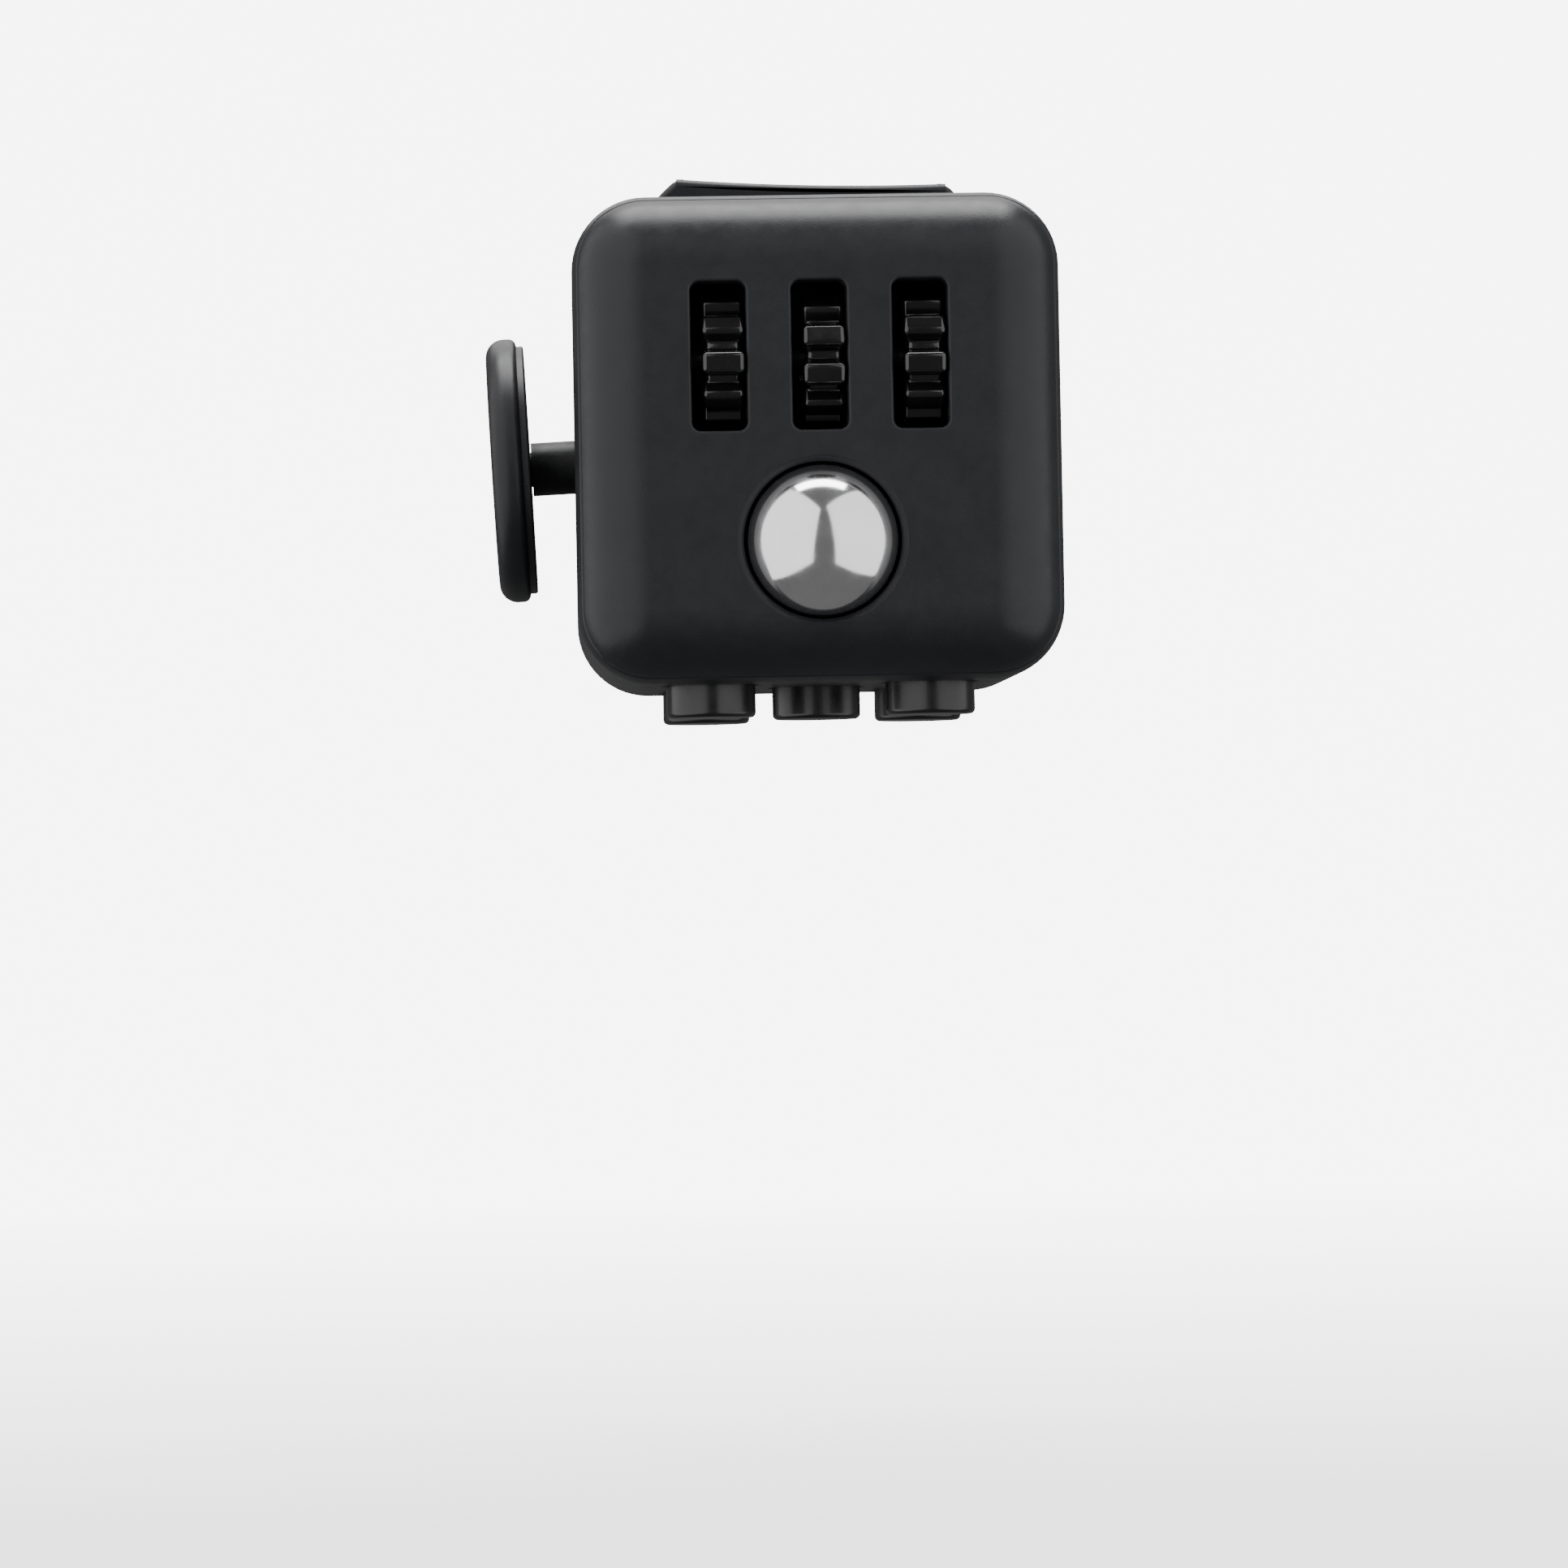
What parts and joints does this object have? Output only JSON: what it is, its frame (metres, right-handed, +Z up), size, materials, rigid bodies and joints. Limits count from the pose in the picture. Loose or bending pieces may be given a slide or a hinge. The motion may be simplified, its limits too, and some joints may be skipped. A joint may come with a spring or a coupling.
{
  "type": "fidget cube",
  "caption": "Pocket fidget cube with toothed wheels, a rolling ball, a rocker, push buttons, a thumb joystick, a thumb dish and a spin dial.",
  "frame": {"origin": "flat end of the middle push button, under the middle of the cube", "axes": "+Z up out of the rocker's face, -Y out of the face with the wheels and the ball, -X along the joystick"},
  "size_m": [0.039, 0.0378, 0.0373],
  "materials": {
    "housing_plastic": "satin moulded, fine spark texture",
    "gloss_plastic": "polished black",
    "inner_plastic": "as moulded",
    "ball_steel": "mirror polished",
    "pin_steel": "ground",
    "spring_steel": "drawn wire and rolled strip",
    "screw_steel": "zinc plated",
    "brass": "turned",
    "silicone": "translucent grey silicone"
  },
  "bodies": {
    "housing": {"ball_bracket": "inner_plastic", "ball_bracket_screw_left": "screw_steel", "ball_bracket_screw_right": "screw_steel", "ball_click_dome": "spring_steel", "ball_spring": "spring_steel", "body_shell": "housing_plastic", "button_plate": "inner_plastic", "button_plate_screw_left": "screw_steel", "button_plate_screw_rear": "screw_steel", "button_plate_screw_right": "screw_steel", "dial_bush": "brass", "dome_front_right": "spring_steel", "dome_middle": "spring_steel", "dome_rear_left": "spring_steel", "front_cover": "housing_plastic", "gear_axle": "pin_steel", "gear_carrier": "inner_plastic", "gear_carrier_screw_left": "screw_steel", "gear_carrier_screw_right": "screw_steel", "joystick_retainer": "inner_plastic", "joystick_screw_lower": "screw_steel", "joystick_screw_upper": "screw_steel", "joystick_spring": "spring_steel", "pad_front_left": "silicone", "pad_rear_right": "silicone", "rear_cover": "housing_plastic", "rocker_cam": "inner_plastic", "rocker_cam_screw_left": "screw_steel", "rocker_cam_screw_right": "screw_steel", "rocker_pin": "pin_steel"},
    "gear_wheel_left": {"gear_wheel_left": "gloss_plastic"},
    "gear_wheel_middle": {"gear_wheel_middle": "gloss_plastic"},
    "gear_wheel_right": {"gear_wheel_right": "gloss_plastic"},
    "ball_plunger": {"ball_plunger": "inner_plastic"},
    "ball_cup": {"ball_cup": "inner_plastic"},
    "roller_ball": {"roller_ball": "ball_steel"},
    "rocker": {"rocker_cap": "housing_plastic", "rocker_spring": "spring_steel"},
    "rocker_plunger": {"rocker_plunger": "pin_steel"},
    "joystick_cup": {"joystick_cup": "inner_plastic"},
    "joystick": {"joystick_pad": "housing_plastic", "joystick_plate": "housing_plastic", "joystick_stem": "housing_plastic"},
    "spin_dial": {"spin_dial": "housing_plastic", "dial_washer": "screw_steel", "dial_screw": "screw_steel"},
    "button_front_left": {"button_front_left": "gloss_plastic"},
    "button_front_right": {"button_front_right": "gloss_plastic"},
    "button_middle": {"button_middle": "gloss_plastic"},
    "button_rear_left": {"button_rear_left": "gloss_plastic"},
    "button_rear_right": {"button_rear_right": "gloss_plastic"}
  },
  "joints": [
    {"name": "gear_wheel_left_spin", "type": "hinge", "parent": "housing", "child": "gear_wheel_left", "pos_m": [-0.00646, -0.0124, 0.02395], "axis": [1, 0, 0], "continuous": true},
    {"name": "gear_wheel_middle_spin", "type": "hinge", "parent": "housing", "child": "gear_wheel_middle", "pos_m": [0.0003, -0.0124, 0.02395], "axis": [1, 0, 0], "continuous": true},
    {"name": "gear_wheel_right_spin", "type": "hinge", "parent": "housing", "child": "gear_wheel_right", "pos_m": [0.00706, -0.0124, 0.02395], "axis": [1, 0, 0], "continuous": true},
    {"name": "ball_press", "type": "slide", "parent": "housing", "child": "ball_plunger", "axis": [0, 1, 0], "range_m": [0, 0.0009], "stiffness_N_per_m": 900, "springref_m": -0.001, "deforming": ["ball_spring", "ball_click_dome"]},
    {"name": "ball_swivel", "type": "hinge", "parent": "ball_plunger", "child": "ball_cup", "pos_m": [0, -0.014, 0.01155], "axis": [0, 1, 0], "continuous": true},
    {"name": "ball_roll", "type": "hinge", "parent": "ball_cup", "child": "roller_ball", "pos_m": [0, -0.014, 0.01155], "axis": [1, 0, 0], "continuous": true},
    {"name": "rocker_flip", "type": "hinge", "parent": "housing", "child": "rocker", "pos_m": [0, 0, 0.0329], "axis": [0, 1, 0], "range_deg": [-3.6, 0]},
    {"name": "rocker_plunger_slide", "type": "slide", "parent": "rocker", "child": "rocker_plunger", "axis": [-0.0314, 0, 0.9995], "range_m": [0, 0.0006], "stiffness_N_per_m": 500, "springref_m": -0.001, "deforming": ["rocker_spring"]},
    {"name": "joystick_lift", "type": "hinge", "parent": "housing", "child": "joystick_cup", "pos_m": [-0.0103, 0, 0.01812], "axis": [0, 1, 0], "range_deg": [-7.5, 12.5], "stiffness_Nm_per_rad": 0.03, "deforming": ["joystick_spring"]},
    {"name": "joystick_sway", "type": "hinge", "parent": "joystick_cup", "child": "joystick", "pos_m": [-0.0103, 0, 0.01812], "axis": [0, 0, 1], "range_deg": [-10, 10], "stiffness_Nm_per_rad": 0.03},
    {"name": "dial_spin", "type": "hinge", "parent": "housing", "child": "spin_dial", "pos_m": [0, 0.0175, 0.0187], "axis": [0, 1, 0], "continuous": true},
    {"name": "button_front_left_press", "type": "slide", "parent": "housing", "child": "button_front_left", "axis": [0, 0, 1], "range_m": [0, 0.0011], "stiffness_N_per_m": 1200, "springref_m": -0.001, "deforming": ["pad_front_left"]},
    {"name": "button_front_right_press", "type": "slide", "parent": "housing", "child": "button_front_right", "axis": [0, 0, 1], "range_m": [0, 0.0011], "stiffness_N_per_m": 1200, "springref_m": -0.001, "deforming": ["dome_front_right"]},
    {"name": "button_middle_press", "type": "slide", "parent": "housing", "child": "button_middle", "axis": [0, 0, 1], "range_m": [0, 0.0011], "stiffness_N_per_m": 1200, "springref_m": -0.001, "deforming": ["dome_middle"]},
    {"name": "button_rear_left_press", "type": "slide", "parent": "housing", "child": "button_rear_left", "axis": [0, 0, 1], "range_m": [0, 0.0011], "stiffness_N_per_m": 1200, "springref_m": -0.001, "deforming": ["dome_rear_left"]},
    {"name": "button_rear_right_press", "type": "slide", "parent": "housing", "child": "button_rear_right", "axis": [0, 0, 1], "range_m": [0, 0.0011], "stiffness_N_per_m": 1200, "springref_m": -0.001, "deforming": ["pad_rear_right"]}
  ]
}
